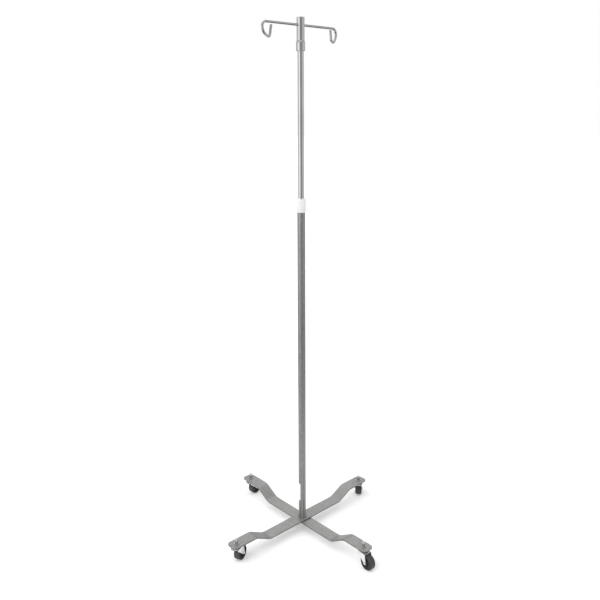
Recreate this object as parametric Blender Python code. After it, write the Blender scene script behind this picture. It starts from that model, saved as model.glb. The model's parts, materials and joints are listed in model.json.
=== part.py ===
"""A rolling infusion stand: two crossed flat bars on four swivel casters carry a telescopic pole.

A sliding collar on a split collet locks the pole's height, and a two-hook top lifts off the pole's end.
Everything is in metres, +Z up, with the origin on the floor under the middle of the pole. One bar runs
along X and the other, under it, along Y.
"""

import math

import bmesh
import bpy
from mathutils import Matrix, Vector

# Driving dimensions ---------------------------------------------------------------------------------
GAP = 0.0003  # clearance between pieces that touch on the real object

WHEEL_RADIUS = 0.0254
WHEEL_WIDTH = 0.023
CASTER_TRAIL = 0.023  # from the swivel axis to the axle
CASTER_CIRCLE = 0.300  # from the pole's axis to each swivel axis
LEG_ANGLES = {"left": 180, "front": 270, "right": 0, "back": 90}
CASTER_HEADINGS = {"left": 23, "front": -97, "right": 37, "back": 11}  # which way each wheel trails

BAR_WIDTH = 0.046
BAR_THICK = 0.005
BAR_REACH = 0.325  # half the length of a bar
BAR_CORNER = 0.014
BAR_END_TOP = 0.072  # height of the raised ends' top face
BAR_LOW_END = 0.1695  # distance from the middle to the lower bend
BAR_HIGH_START = 0.227  # distance from the middle to the upper bend
UPPER_BAR_TOP = 0.0427  # height of the upper bar's top face at the middle
BEND_RADIUS = 0.036  # inner radius of the bends

LOWER_TUBE_RADIUS = 0.0127
LOWER_TUBE_WALL = 0.0012
LOWER_TUBE_TOP = 1.1725
FOOT_FLARE_RADIUS = 0.0150
FOOT_FLARE_HEIGHT = 0.022
UPPER_TUBE_RADIUS = 0.009525
UPPER_TUBE_WALL = 0.0012
UPPER_TUBE_BOTTOM = 0.520
UPPER_TUBE_TOP = 1.695
TUBE_SIDES = 24
PIN_SIDES = 16
LABEL_START = 98  # degrees round the pole
LABEL_STOP = 199
LABEL_LOW = 0.114
LABEL_HIGH = 0.180

COLLAR_RADIUS = 0.0148
COLLAR_BOTTOM = 1.1515
COLLAR_TOP = 1.1945
COLLAR_CHAMFER = 0.0014
COLLAR_RIM = 0.0006  # how far the collar's lower rim stands out from its body
COLLET_BOTTOM = 1.1325
COLLET_TOP = 1.1970
COLLET_WIDE = 0.0127  # radius of the fingers' cone at its foot, where the collar wedges it
COLLET_NARROW = 0.0117
COLLET_SLOTS = 4
COLLET_SLOT_WIDTH = 0.0036
COLLET_TURN = 48  # degrees from +X to the first slot

HOOK_TUBE_RADIUS = 0.0120
HOOK_TUBE_WALL = 0.0011
HOOK_TUBE_TOP = 1.734
BELL_RADIUS = 0.0138  # the widened lower end of the hook tube
BELL_BOTTOM = 1.6405
BELL_SHOULDER = 1.6645
BELL_NECK = 1.6695
CAP_LIP = 0.0020

ROD_RADIUS = 0.0038
ROD_HEIGHT = 1.714
ROD_HEADING = -2  # degrees from +X
LOOP_TWISTS = {"left": -2, "right": 9}  # degrees that each loop's plane turns away from the rod's
ROD_ARM = 0.1312  # from the pole's axis to the start of each loop
# Each loop's turns, as (radius, heading at the turn's end in degrees): 0 is outwards, 90 is down.
LOOP_TURNS = {
    "left": [(0.0135, 92), (0.0293, 158), (0.0062, 260)],
    "right": [(0.0177, 100), (0.0320, 135), (0.0090, 261)],
}
LOOP_STEP = 16  # degrees of turn between two points of the rod's centreline, at most
LOOP_TAILS = {"left": 0.0285, "right": 0.0276}

STUD_RADIUS = 0.0040
CROWN_TOP = 0.0575
CROWN_THICK = 0.002
CROWN_RADIUS = 0.0165  # of the crown's rounded ends
CROWN_REACH = 0.0065  # from the swivel axis back to the middle of the crown's rear end
FORK_INNER = 0.013  # half the gap between the legs
FORK_OUTER = 0.015
FORK_EYE = 0.0050  # radius of each leg's rounded end, round the axle
FORK_FRONT = -0.0125  # the legs' front edge under the crown, from the swivel axis
FORK_BACK = 0.0200
FORK_SHOULDER = 0.0060  # how far under the crown's top the legs' shoulders start
AXLE_RADIUS = 0.003
CUP_RADIUS = 0.017
CUP_LOW = 0.0590
CUP_WALL = 0.0013
RACE_CIRCLE = 0.0105
RACE_RADIUS = 0.0032
NUT_FLATS = 0.0130
NUT_HEIGHT = 0.0084
STUD_RISE = 0.0088  # how far the stud stands above its nut
WASHER_RADIUS = 0.0084
WASHER_THICK = 0.002
CORE_RADIUS = 0.0165
TYRE_SIDES = 28

# Materials ------------------------------------------------------------------------------------------
MATERIALS = {
    "silver_paint": ((0.36, 0.37, 0.36), 0.45, 0.6),
    "chrome": ((0.80, 0.81, 0.82), 0.12, 1.0),
    "zinc": ((0.72, 0.74, 0.76), 0.30, 1.0),
    "dark_steel": ((0.10, 0.11, 0.12), 0.45, 0.8),
    "white_plastic": ((0.85, 0.85, 0.83), 0.35, 0.0),
    "nylon": ((0.78, 0.77, 0.72), 0.50, 0.0),
    "black_plastic": ((0.02, 0.02, 0.02), 0.45, 0.0),
    "tyre_rubber": ((0.045, 0.043, 0.042), 0.65, 0.0),
    "label_film": ((0.88, 0.89, 0.89), 0.40, 0.0),
}


def clear_scene():
    for obj in list(bpy.data.objects):
        bpy.data.objects.remove(obj, do_unlink=True)


def material(name):
    found = bpy.data.materials.get(name)
    if found:
        return found
    colour, roughness, metallic = MATERIALS[name]
    made = bpy.data.materials.new(name)
    made.use_nodes = True
    shader = made.node_tree.nodes["Principled BSDF"]
    shader.inputs["Base Color"].default_value = (*colour, 1.0)
    shader.inputs["Roughness"].default_value = roughness
    shader.inputs["Metallic"].default_value = metallic
    return made


# Mesh tools -----------------------------------------------------------------------------------------
def finish_mesh(name, bm, mat, smooth_below=40):
    """Makes an object of a bmesh, with its faces outwards and its round stretches smooth."""
    bmesh.ops.remove_doubles(bm, verts=bm.verts, dist=1e-7)
    bmesh.ops.recalc_face_normals(bm, faces=bm.faces)
    mesh = bpy.data.meshes.new(name)
    bm.to_mesh(mesh)
    bm.free()
    mesh.shade_smooth()
    mesh.set_sharp_from_angle(angle=math.radians(smooth_below))
    obj = bpy.data.objects.new(name, mesh)
    bpy.context.scene.collection.objects.link(obj)
    if mat:
        mesh.materials.append(material(mat))
    return obj


def turned(name, profile, mat, sides=TUBE_SIDES, phase=0.0, axis="Z"):
    """Spins a closed profile of (radius, height) points round Z, and lays it along Y if axis says so.

    phase turns the facets, in steps of one facet.
    """
    bm = bmesh.new()
    start = Matrix.Rotation(phase * math.tau / sides, 4, "Z")
    verts = [bm.verts.new(start @ Vector((radius, 0, height))) for radius, height in profile]
    edges = [bm.edges.new((a, b)) for a, b in zip(verts, verts[1:] + verts[:1])]
    bmesh.ops.spin(
        bm, geom=verts + edges, cent=(0, 0, 0), axis=(0, 0, 1), angle=math.tau, steps=sides, use_merge=True
    )
    bmesh.ops.remove_doubles(bm, verts=bm.verts, dist=1e-7)
    if axis == "Y":
        bmesh.ops.transform(bm, matrix=Matrix.Rotation(math.radians(-90), 4, "X"), verts=bm.verts)
    return finish_mesh(name, bm, mat)


def plate(name, outline, low, high, mat, normal="Z"):
    """Extrudes a closed outline. For normal Z it lies in X and Y; for normal Y it lies in X and Z."""
    bm = bmesh.new()
    if normal == "Z":
        verts = [bm.verts.new((x, y, low)) for x, y in outline]
        move = Vector((0, 0, high - low))
    else:
        verts = [bm.verts.new((x, low, z)) for x, z in outline]
        move = Vector((0, high - low, 0))
    face = bm.faces.new(verts)
    made = bmesh.ops.extrude_face_region(bm, geom=[face])
    bmesh.ops.translate(bm, vec=move, verts=[v for v in made["geom"] if isinstance(v, bmesh.types.BMVert)])
    return finish_mesh(name, bm, mat)


def ring(name, inner, outer, low, high, mat, sides=PIN_SIDES, axis="Z"):
    return turned(name, [(inner, low), (outer, low), (outer, high), (inner, high)], mat, sides, axis=axis)


def rod_tool(name, radius, low, high, axis="Z"):
    """A plain round cutter or shank."""
    return turned(name, [(0, low), (radius, low), (radius, high), (0, high)], None, PIN_SIDES, axis=axis)


def hexagon(name, across_flats, low, high, mat):
    corner = across_flats / 2 / math.cos(math.pi / 6)
    return turned(name, [(0, low), (corner, low), (corner, high), (0, high)], mat, 6)


def arc(centre, radius, start, stop, steps):
    """Points on an arc, angles in degrees, both ends included."""
    angles = [math.radians(start + (stop - start) * i / steps) for i in range(steps + 1)]
    return [(centre[0] + radius * math.cos(a), centre[1] + radius * math.sin(a)) for a in angles]


def rounded_rectangle(half_x, half_y, radius, steps=4):
    points = []
    for corner_x, corner_y, start in ((1, 1, 0), (-1, 1, 90), (-1, -1, 180), (1, -1, 270)):
        centre = (corner_x * (half_x - radius), corner_y * (half_y - radius))
        points += arc(centre, radius, start, start + 90, steps)
    return points


def combine(target, operation, tools):
    """Applies Booleans to target as modifiers, and hides their operands."""
    for tool in tools:
        modifier = target.modifiers.new(operation.lower() + "_" + tool.name, "BOOLEAN")
        modifier.operation = operation
        modifier.object = tool
        modifier.solver = "EXACT"
        tool.hide_render = True
        tool.display_type = "WIRE"
    return target


def empty(name, location, parent=None, turn=0.0):
    made = bpy.data.objects.new(name, None)
    made.location = location
    made.rotation_euler = (0, 0, math.radians(turn))
    made.parent = parent
    bpy.context.scene.collection.objects.link(made)
    return made


def place(obj, parent=None, location=(0, 0, 0), turn=0.0):
    obj.parent = parent
    obj.location = location
    obj.rotation_euler = (0, 0, math.radians(turn))
    return obj


# The base -------------------------------------------------------------------------------------------
def bar_profile(low_top):
    """Side view of half a bar from its lower bend to its raised end, bends as arcs: top face, then bottom."""
    rise = BAR_END_TOP - low_top
    slope = math.atan2(rise, BAR_HIGH_START - BAR_LOW_END)
    trim = math.tan(slope / 2)
    outer = BEND_RADIUS + BAR_THICK
    degrees = math.degrees(slope)
    # The top face turns inside the lower bend and outside the upper one.
    lower = (BAR_LOW_END - BEND_RADIUS * trim, low_top + BEND_RADIUS)
    upper = (BAR_HIGH_START + outer * trim, BAR_END_TOP - outer)
    top = arc(lower, BEND_RADIUS, 270, 270 + degrees, 4) + arc(upper, outer, 90 + degrees, 90, 4)
    bottom = arc(lower, outer, 270, 270 + degrees, 4) + arc(upper, BEND_RADIUS, 90 + degrees, 90, 4)
    return top, bottom


def flat_bar(name, low_top, heading):
    """One bar: its side view mirrored about the middle, extruded, rounded at the tips and drilled."""
    top, bottom = bar_profile(low_top)
    top_half = [(BAR_REACH, BAR_END_TOP)] + top[::-1]
    bottom_half = bottom + [(BAR_REACH, BAR_END_TOP - BAR_THICK)]
    upper_side = top_half + [(-x, z) for x, z in top_half[::-1]]
    lower_side = [(-x, z) for x, z in bottom_half[::-1]] + bottom_half
    bar = plate(name, upper_side + lower_side, -BAR_WIDTH / 2, BAR_WIDTH / 2, "silver_paint", "Y")
    outline = rounded_rectangle(BAR_REACH, BAR_WIDTH / 2 + 0.001, BAR_CORNER)
    tips = plate(name + "_outline_tool", outline, 0.0, 0.1, None)
    combine(bar, "INTERSECT", [tips])
    drills = []
    for i, x in enumerate((-CASTER_CIRCLE, 0, CASTER_CIRCLE)):
        drill = rod_tool(f"{name}_drill_tool_{i}", STUD_RADIUS + GAP, 0.0, 0.1)
        drills.append(place(drill, None, (x, 0, 0)))
    combine(bar, "DIFFERENCE", drills)
    for tool in [tips, *drills]:
        tool.parent = bar
    bar.rotation_euler = (0, 0, math.radians(heading))
    return bar


def base_fixings():
    """The plug in the pole's foot, and the bolt and washer that hold both bars to it from below."""
    lower_bar_bottom = UPPER_BAR_TOP - 2 * BAR_THICK - GAP
    foot = UPPER_BAR_TOP + GAP
    plug_length = 0.026
    plug_radius = LOWER_TUBE_RADIUS - LOWER_TUBE_WALL - GAP
    ring("foot_plug", STUD_RADIUS + GAP, plug_radius, foot, foot + plug_length, "zinc")
    washer_top = lower_bar_bottom - GAP
    washer_low = washer_top - WASHER_THICK
    ring("base_washer", STUD_RADIUS + GAP, WASHER_RADIUS, washer_low, washer_top, "zinc")
    head_top = washer_low - GAP
    head_height = 0.0062
    bolt = hexagon("base_bolt", NUT_FLATS, head_top - head_height, head_top, "zinc")
    shank_top = foot + plug_length - 0.004
    shank = rod_tool("base_bolt_shank_tool", STUD_RADIUS, head_top - head_height / 2, shank_top)
    combine(bolt, "UNION", [shank])


# The pole -------------------------------------------------------------------------------------------
def lower_tube():
    """The painted outer tube, swaged out at its foot."""
    foot = UPPER_BAR_TOP + GAP
    radius = LOWER_TUBE_RADIUS
    flare = FOOT_FLARE_RADIUS - radius
    steps = 5
    rim = 0.002
    outside = [(FOOT_FLARE_RADIUS, foot)]
    for i in range(steps + 1):
        a = math.pi / 2 * i / steps
        height = foot + rim + FOOT_FLARE_HEIGHT * (1 - math.cos(a))
        outside.append((radius + flare * (1 - math.sin(a)), height))
    inner = radius - LOWER_TUBE_WALL
    profile = outside + [(radius, LOWER_TUBE_TOP), (inner, LOWER_TUBE_TOP), (inner, foot)]
    turned("lower_tube", profile, "silver_paint")


def blank_label():
    """A blank film label that wraps round part of the lower tube, near its foot."""
    inner = LOWER_TUBE_RADIUS + GAP
    outer = inner + GAP
    steps = 10
    outline = arc((0, 0), outer, LABEL_START, LABEL_STOP, steps)
    outline += arc((0, 0), inner, LABEL_STOP, LABEL_START, steps)
    plate("blank_label", outline, LABEL_LOW, LABEL_HIGH, "label_film")


def collet():
    """The split collet in the tube's mouth. The collar's cone squeezes its fingers on to the inner tube."""
    bore = UPPER_TUBE_RADIUS + GAP
    socket = LOWER_TUBE_RADIUS - LOWER_TUBE_WALL - GAP
    seat = LOWER_TUBE_TOP + GAP
    profile = [
        (bore, COLLET_BOTTOM),
        (socket, COLLET_BOTTOM),
        (socket, seat),
        (COLLET_WIDE, seat),
        (COLLET_NARROW, COLLET_TOP - 0.0012),
        (COLLET_NARROW - 0.0010, COLLET_TOP),
        (bore, COLLET_TOP),
    ]
    body = turned("collet", profile, "white_plastic")
    slots = []
    half = COLLET_SLOT_WIDTH / 2
    outline = [(0.006, -half), (0.02, -half), (0.02, half), (0.006, half)]
    for i in range(COLLET_SLOTS):
        slot = plate(f"collet_slot_tool_{i}", outline, LOWER_TUBE_TOP + 0.004, COLLET_TOP + 0.01, None)
        slots.append(place(slot, None, turn=COLLET_TURN + i * 360 / COLLET_SLOTS))
    combine(body, "DIFFERENCE", slots)


def lock_collar():
    """The collar that is pushed down the collet's cone to lock the pole, and up to free it."""
    slide = LOWER_TUBE_RADIUS + GAP
    taper = (COLLET_WIDE - COLLET_NARROW) / (COLLET_TOP - LOWER_TUBE_TOP)
    top_bore = COLLET_WIDE - taper * (COLLAR_TOP - LOWER_TUBE_TOP) + 2 * GAP
    rim = COLLAR_RADIUS + COLLAR_RIM
    rim_low = COLLAR_BOTTOM + 0.0025
    rim_high = COLLAR_BOTTOM + 0.0075
    turned(
        "lock_collar",
        [
            (slide, COLLAR_BOTTOM),
            (COLLAR_RADIUS - 0.0008, COLLAR_BOTTOM),
            (rim, rim_low),
            (rim, rim_high),
            (COLLAR_RADIUS, rim_high + 0.001),
            (COLLAR_RADIUS, COLLAR_TOP - 2 * COLLAR_CHAMFER),
            (COLLAR_RADIUS - COLLAR_CHAMFER, COLLAR_TOP),
            (top_bore, COLLAR_TOP),
            (COLLET_WIDE + 2 * GAP, LOWER_TUBE_TOP),
            (slide, LOWER_TUBE_TOP - 0.002),
        ],
        "white_plastic",
    )


def inner_pole():
    """The chromed inner tube, and the nylon glide that runs in the lower tube and carries its end."""
    inner = UPPER_TUBE_RADIUS - UPPER_TUBE_WALL
    ring("upper_tube", inner, UPPER_TUBE_RADIUS, UPPER_TUBE_BOTTOM, UPPER_TUBE_TOP, "chrome", TUBE_SIDES)
    running = LOWER_TUBE_RADIUS - LOWER_TUBE_WALL - GAP
    shoulder = UPPER_TUBE_BOTTOM - GAP
    turned(
        "glide_bush",
        [
            (0, shoulder - 0.016),
            (running, shoulder - 0.016),
            (running, shoulder),
            (inner - GAP, shoulder),
            (inner - GAP, shoulder + 0.022),
            (0, shoulder + 0.022),
        ],
        "nylon",
        PIN_SIDES,
    )


# The hook top ---------------------------------------------------------------------------------------
def loop_path(side, outward):
    """Centreline of one end of the rod, from the end of its straight arm to the tip of its tail."""
    out = Vector((math.cos(math.radians(outward)), math.sin(math.radians(outward)), 0))
    plane = Matrix.Rotation(math.radians(LOOP_TWISTS[side]), 3, "Z") @ out
    down = Vector((0, 0, -1))
    point = out * ROD_ARM + Vector((0, 0, ROD_HEIGHT))
    path = [point.copy()]
    start = 0.0
    for radius, stop in LOOP_TURNS[side]:
        steps = math.ceil((stop - start) / LOOP_STEP)
        for i in range(steps):
            a = math.radians(start + (stop - start) * i / steps)
            b = math.radians(start + (stop - start) * (i + 1) / steps)
            along = plane * (math.sin(b) - math.sin(a)) + down * (math.cos(a) - math.cos(b))
            point = point + along * radius
            path.append(point.copy())
        start = stop
    heading = math.radians(start)
    path.append(point + (plane * math.cos(heading) + down * math.sin(heading)) * LOOP_TAILS[side])
    return path


def hook_rod():
    """One round rod through the hook tube, with a loop formed at each end."""
    right = loop_path("right", ROD_HEADING)
    left = loop_path("left", ROD_HEADING + 180)
    points = left[::-1] + right
    curve = bpy.data.curves.new("hook_rod", "CURVE")
    curve.dimensions = "3D"
    curve.bevel_depth = ROD_RADIUS
    curve.bevel_resolution = 3
    curve.use_fill_caps = True
    spline = curve.splines.new("POLY")
    spline.points.add(len(points) - 1)
    for target, point in zip(spline.points, points):
        target.co = (*point, 1.0)
    curve.materials.append(material("chrome"))
    rod = bpy.data.objects.new("hook_rod", curve)
    bpy.context.scene.collection.objects.link(rod)


def hook_tube():
    """The short tube of the hook top: belled at the bottom and cross-drilled for the rod."""
    inner = HOOK_TUBE_RADIUS - HOOK_TUBE_WALL
    bell_inner = BELL_RADIUS - HOOK_TUBE_WALL
    tube = turned(
        "hook_tube",
        [
            (BELL_RADIUS, BELL_BOTTOM),
            (BELL_RADIUS, BELL_SHOULDER),
            (HOOK_TUBE_RADIUS, BELL_NECK),
            (HOOK_TUBE_RADIUS, HOOK_TUBE_TOP),
            (inner, HOOK_TUBE_TOP),
            (inner, BELL_NECK + GAP),
            (bell_inner, BELL_SHOULDER + GAP),
            (bell_inner, BELL_BOTTOM),
        ],
        "chrome",
    )
    drill = rod_tool("hook_tube_drill_tool", ROD_RADIUS + GAP, -0.02, 0.02, "Y")
    place(drill, None, (0, 0, ROD_HEIGHT), ROD_HEADING - 90)
    combine(tube, "DIFFERENCE", [drill])


def hook_cap():
    """The plug that closes the hook tube, with a thin rounded lip on the tube's end."""
    plug = HOOK_TUBE_RADIUS - HOOK_TUBE_WALL - GAP
    seat = HOOK_TUBE_TOP + GAP
    top = HOOK_TUBE_TOP + CAP_LIP
    turned(
        "hook_cap",
        [
            (0, HOOK_TUBE_TOP - 0.009),
            (plug, HOOK_TUBE_TOP - 0.009),
            (plug, seat),
            (HOOK_TUBE_RADIUS, seat),
            (HOOK_TUBE_RADIUS, top - 0.0008),
            (HOOK_TUBE_RADIUS - 0.0010, top),
            (0, top),
        ],
        "chrome",
    )


def hook_bush():
    """The nylon bush on the inner tube's end, over which the hook top slips."""
    bore = UPPER_TUBE_RADIUS + GAP
    wide = BELL_RADIUS - HOOK_TUBE_WALL - GAP
    narrow = HOOK_TUBE_RADIUS - HOOK_TUBE_WALL - GAP
    ring("hook_bush", bore, narrow, BELL_NECK + 0.001, BELL_NECK + 0.021, "nylon", TUBE_SIDES)
    ring("bell_bush", bore, wide, BELL_BOTTOM + 0.001, BELL_SHOULDER - 0.0005, "nylon", TUBE_SIDES)


# The casters ----------------------------------------------------------------------------------------
def fork_leg(name, side):
    """One leg: wide under the crown, nearly upright behind and slanting back in front, with a rounded eye."""
    eye = arc((CASTER_TRAIL, WHEEL_RADIUS), FORK_EYE, 5, -150, 6)
    seam = CROWN_TOP - CROWN_THICK / 2
    shoulder = CROWN_TOP - FORK_SHOULDER
    front = [(FORK_FRONT - 0.001, shoulder), (FORK_FRONT, seam)]
    back = [(FORK_BACK, seam), (FORK_BACK + 0.003, shoulder)]
    low, high = sorted((side * FORK_INNER, side * FORK_OUTER))
    return plate(name, back + eye + front, low, high, "zinc", "Y")


def fork(tag, swivel):
    """The pressed fork: a crown with rounded ends and two legs, drilled for the king pin and the axle."""
    edge = math.degrees(math.asin((FORK_OUTER - GAP) / CROWN_RADIUS))
    outline = arc((CROWN_REACH, 0), CROWN_RADIUS, -edge, edge, 6)
    outline += arc((0, 0), CROWN_RADIUS, 180 - edge, 180 + edge, 6)
    crown = plate("fork_" + tag, outline, CROWN_TOP - CROWN_THICK, CROWN_TOP, "zinc")
    legs = [fork_leg(f"fork_{tag}_leg_tool_{i}", side) for i, side in enumerate((-1, 1))]
    combine(crown, "UNION", legs)
    king = rod_tool(f"fork_{tag}_king_tool", STUD_RADIUS + GAP, 0.04, 0.08)
    pin = rod_tool(f"fork_{tag}_axle_tool", AXLE_RADIUS + GAP, -0.02, 0.02, "Y")
    place(pin, None, (CASTER_TRAIL, 0, WHEEL_RADIUS))
    combine(crown, "DIFFERENCE", [king, pin])
    for tool in [*legs, king, pin]:
        tool.parent = crown
    return place(crown, swivel)


def ball_race(tag, swivel):
    """The ring of balls between the fork's crown and the cup, as one ring of their outer shape."""
    centre = (RACE_CIRCLE, CROWN_TOP + GAP + RACE_RADIUS)
    steps = 6
    profile = arc(centre, RACE_RADIUS, 0, 360 * (steps - 1) / steps, steps - 1)
    return place(turned("ball_race_" + tag, profile, "zinc", PIN_SIDES), swivel)


def caster_nut(tag, at):
    low = BAR_END_TOP + 2 * GAP + WASHER_THICK
    nut = hexagon("caster_nut_" + tag, NUT_FLATS, low, low + NUT_HEIGHT, "zinc")
    bore = rod_tool(f"caster_nut_{tag}_bore_tool", STUD_RADIUS + GAP, low - 0.01, low + 0.02)
    bore.parent = nut
    combine(nut, "DIFFERENCE", [bore])
    return place(nut, at, turn=LEG_ANGLES[tag])


def caster_stem(tag, at):
    """The king pin: a riveted head under the crown, and a threaded stud up through the bar and the nut."""
    head = CROWN_TOP - CROWN_THICK - GAP
    top = BAR_END_TOP + 2 * GAP + WASHER_THICK + NUT_HEIGHT + STUD_RISE
    chamfer = 0.0010
    profile = [
        (0, head - 0.0025),
        (0.0065, head - 0.0025),
        (0.0080, head - 0.0012),
        (0.0080, head),
        (STUD_RADIUS, head),
        (STUD_RADIUS, top - chamfer),
        (STUD_RADIUS - chamfer, top),
        (0, top),
    ]
    return place(turned("caster_stem_" + tag, profile, "zinc", PIN_SIDES), at)


def bearing_cup(tag, at):
    """The dust cup and upper race, clamped under the bar by the stem."""
    top = BAR_END_TOP - BAR_THICK - GAP
    hole = STUD_RADIUS + GAP
    profile = [
        (hole, top),
        (CUP_RADIUS - 0.003, top),
        (CUP_RADIUS, top - 0.003),
        (CUP_RADIUS, CUP_LOW),
        (CUP_RADIUS - CUP_WALL, CUP_LOW),
        (CUP_RADIUS - CUP_WALL, top - 0.0035),
        (CUP_RADIUS - 0.0035, top - CUP_WALL),
        (hole, top - CUP_WALL),
    ]
    return place(turned("bearing_cup_" + tag, profile, "dark_steel", 20), at)


def caster_washer(tag, at):
    low = BAR_END_TOP + GAP
    return place(
        ring("caster_washer_" + tag, STUD_RADIUS + GAP, WASHER_RADIUS, low, low + WASHER_THICK, "zinc"), at
    )


def axle(tag, hub):
    """A rivet through both legs, headed outside each."""
    leg = FORK_OUTER + GAP
    head = 0.0014
    half = [(AXLE_RADIUS, leg), (0.0042, leg), (0.0032, leg + head), (0, leg + head)]
    profile = [(radius, -y) for radius, y in half[::-1]] + half
    return place(turned("axle_" + tag, profile, "zinc", 16, axis="Y"), hub)


def wheel(tag, hub):
    """The steel bush on the axle, the plastic core and the rubber tyre."""
    bore = AXLE_RADIUS + GAP
    bush = bore + 0.0015
    half_bush = FORK_INNER - GAP
    place(ring("wheel_bush_" + tag, bore, bush, -half_bush, half_bush, "zinc", 16, axis="Y"), hub)
    hub_radius, rim = 0.0085, 0.0130
    hub_half, web_half, rim_half = 0.0120, 0.0060, 0.0095
    right = [
        (CORE_RADIUS, rim_half),
        (rim, rim_half),
        (hub_radius + 0.001, web_half),
        (hub_radius, hub_half),
        (bush + GAP, hub_half),
    ]
    profile = right + [(radius, -y) for radius, y in right[::-1]]
    place(turned("wheel_core_" + tag, profile, "black_plastic", 20, axis="Y"), hub)
    # The tread's facets touch the floor flat, so their corners stand a little outside the wheel's radius.
    tread = WHEEL_RADIUS / math.cos(math.pi / TYRE_SIDES)
    seat = CORE_RADIUS + GAP
    half = WHEEL_WIDTH / 2
    right = [
        (seat, half - 0.0015),
        (seat + 0.0015, half),
        (tread - 0.0040, half),
        (tread - 0.0012, half - 0.0012),
        (tread, half - 0.0040),
    ]
    profile = right + [(radius, -y) for radius, y in right[::-1]]
    # Half a facet's turn sets one facet level under the axle.
    place(turned("tyre_" + tag, profile, "tyre_rubber", TYRE_SIDES, phase=0.5, axis="Y"), hub)


def caster(tag):
    leg = math.radians(LEG_ANGLES[tag])
    centre = (CASTER_CIRCLE * math.cos(leg), CASTER_CIRCLE * math.sin(leg), 0)
    fixed = empty(f"caster_{tag}_mount", centre)
    swivel = empty(f"caster_{tag}_swivel", centre, turn=CASTER_HEADINGS[tag])
    hub = empty(f"caster_{tag}_axle", (CASTER_TRAIL, 0, WHEEL_RADIUS), swivel)
    caster_stem(tag, fixed)
    bearing_cup(tag, fixed)
    caster_washer(tag, fixed)
    caster_nut(tag, fixed)
    fork(tag, swivel)
    ball_race(tag, swivel)
    axle(tag, hub)
    wheel(tag, hub)


def main():
    clear_scene()
    flat_bar("base_bar_upper", UPPER_BAR_TOP, 0)
    flat_bar("base_bar_lower", UPPER_BAR_TOP - BAR_THICK - GAP, 90)
    base_fixings()
    lower_tube()
    blank_label()
    collet()
    lock_collar()
    inner_pole()
    hook_tube()
    hook_rod()
    hook_cap()
    hook_bush()
    for tag in LEG_ANGLES:
        caster(tag)


main()
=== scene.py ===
"""Looks of the rolling infusion stand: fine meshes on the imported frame, procedural finishes, a studio."""

import json
import math

import bmesh
import bpy
from mathutils import Matrix, Vector


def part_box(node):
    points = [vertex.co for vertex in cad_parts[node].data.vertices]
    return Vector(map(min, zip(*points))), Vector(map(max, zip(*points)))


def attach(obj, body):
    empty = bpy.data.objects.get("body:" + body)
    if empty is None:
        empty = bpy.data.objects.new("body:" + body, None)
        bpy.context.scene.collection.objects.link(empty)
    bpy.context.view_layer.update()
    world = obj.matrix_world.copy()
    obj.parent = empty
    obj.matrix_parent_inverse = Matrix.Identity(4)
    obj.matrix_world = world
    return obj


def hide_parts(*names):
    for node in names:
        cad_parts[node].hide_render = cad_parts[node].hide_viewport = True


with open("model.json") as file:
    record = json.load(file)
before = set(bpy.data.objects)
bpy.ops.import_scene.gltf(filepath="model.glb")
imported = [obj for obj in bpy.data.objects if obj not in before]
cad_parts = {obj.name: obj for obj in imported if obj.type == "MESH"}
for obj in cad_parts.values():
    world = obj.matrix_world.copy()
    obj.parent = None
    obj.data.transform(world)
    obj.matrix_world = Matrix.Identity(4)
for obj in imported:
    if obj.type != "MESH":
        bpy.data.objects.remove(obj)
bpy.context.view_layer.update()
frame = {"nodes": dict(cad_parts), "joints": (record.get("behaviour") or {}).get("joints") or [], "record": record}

JOINTS = {joint["name"]: joint for joint in frame["joints"]}
BODIES = frame["record"]["behaviour"]["bodies"]
NODE_SLOT = {part["node"]: part["material_slot"] for part in frame["record"]["subparts"]}
TAGS = ("left", "front", "right", "back")

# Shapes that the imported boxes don't give, in metres and degrees ---------------
GAP = 0.0003  # clearance between a piece and what it sits in
HOLD = 0.0004  # how far inside a long straight its holding points are
ON_AXIS = 1e-6  # a point this near to the axis it is turned round is on it

BAR_THICK = 0.005
BAR_BENDS = (0.1695, 0.227)  # distances from the middle to the two bends of the top face
BAR_BEND_RADIUS = 0.036
BAR_CORNER = 0.014
BAR_EDGE = 0.0008
# Faces this near to upright get the bars' painted shade.
EDGE_TILT = 0.42  # a face is part of the cut edge where its normal is this near to level

TUBE_RADIUS = 0.0127
TUBE_WALL = 0.0012
TUBE_RIM = 0.0003  # rounding of the tubes' cut ends
FLARE_RIM = 0.002
FLARE_HEIGHT = 0.022
UPPER_RADIUS = 0.009525
LABEL_SWEEP = (98, 199)
LABEL_INSIDE = 0.0002  # from the tube to the film's two faces
LABEL_OUTSIDE = 0.0005
LABEL_CORNER = 0.003

CONE_FOOT = 0.0127
CONE_TOP = 0.0117
SLOT_HALF = 0.0018
SLOT_FLOOR = 0.0037
SLOT_BEARING = 48
COLLAR_RADIUS = 0.0148

HOOK_TUBE_RADIUS = 0.0120
HOOK_TUBE_WALL = 0.0011
BELL_LENGTH = 0.024
NECK_LENGTH = 0.005
ROD_RADIUS = 0.0038
ROD_HEIGHT = 1.714
ROD_HEADING = -2
ROD_ARM = 0.1312
LOOP_TWISTS = {"left": -2, "right": 9}
# Each loop's bends, in order: (radius, angle below level at which the bend stops).
LOOP_TURNS = {
    "left": ((0.0135, 92), (0.0293, 158), (0.0062, 260)),
    "right": ((0.0177, 100), (0.0320, 135), (0.0090, 261)),
}
LOOP_TAILS = {"left": 0.0285, "right": 0.0276}
LOOP_STEP = 5  # degrees of bend between rings

STUD_RADIUS = 0.0040
NUT_FLATS = 0.0130
NUT_SINK = 0.0008
THREAD_PITCH = 0.0015
THREAD_DEPTH = 0.00055
BOLT_HEAD = 0.0062
BOLT_PLAIN = 0.004  # unthreaded length under the head
STEM_HEAD = 0.0025

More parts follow.
